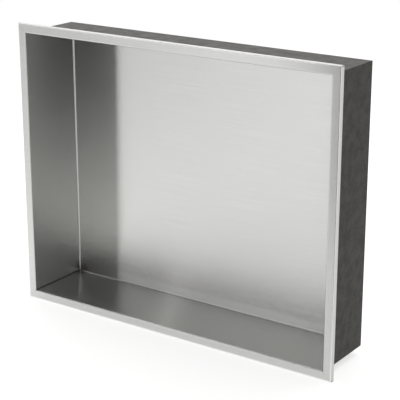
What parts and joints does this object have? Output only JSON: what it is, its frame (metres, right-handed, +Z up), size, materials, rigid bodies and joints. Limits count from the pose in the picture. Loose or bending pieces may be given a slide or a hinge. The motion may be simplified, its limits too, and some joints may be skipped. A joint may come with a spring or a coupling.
{
  "type": "shower niche insert",
  "caption": "Rectangular open-fronted shelf recess folded from brushed stainless sheet, with a slim frame that covers the wall cut-out it is set into.",
  "frame": {"origin": "centre of the wall opening, in the surface of the finished wall, where the folded-back edge of the flange rests", "axes": "+X along the width, +Y into the wall, +Z up, as the niche hangs in the wall"},
  "size_m": [0.508, 0.1028, 0.4064],
  "materials": {
    "brushed_stainless": "brushed satin, coated matt grey outside the body"
  },
  "bodies": {
    "root": {"niche_pan": "brushed_stainless"}
  },
  "joints": []
}
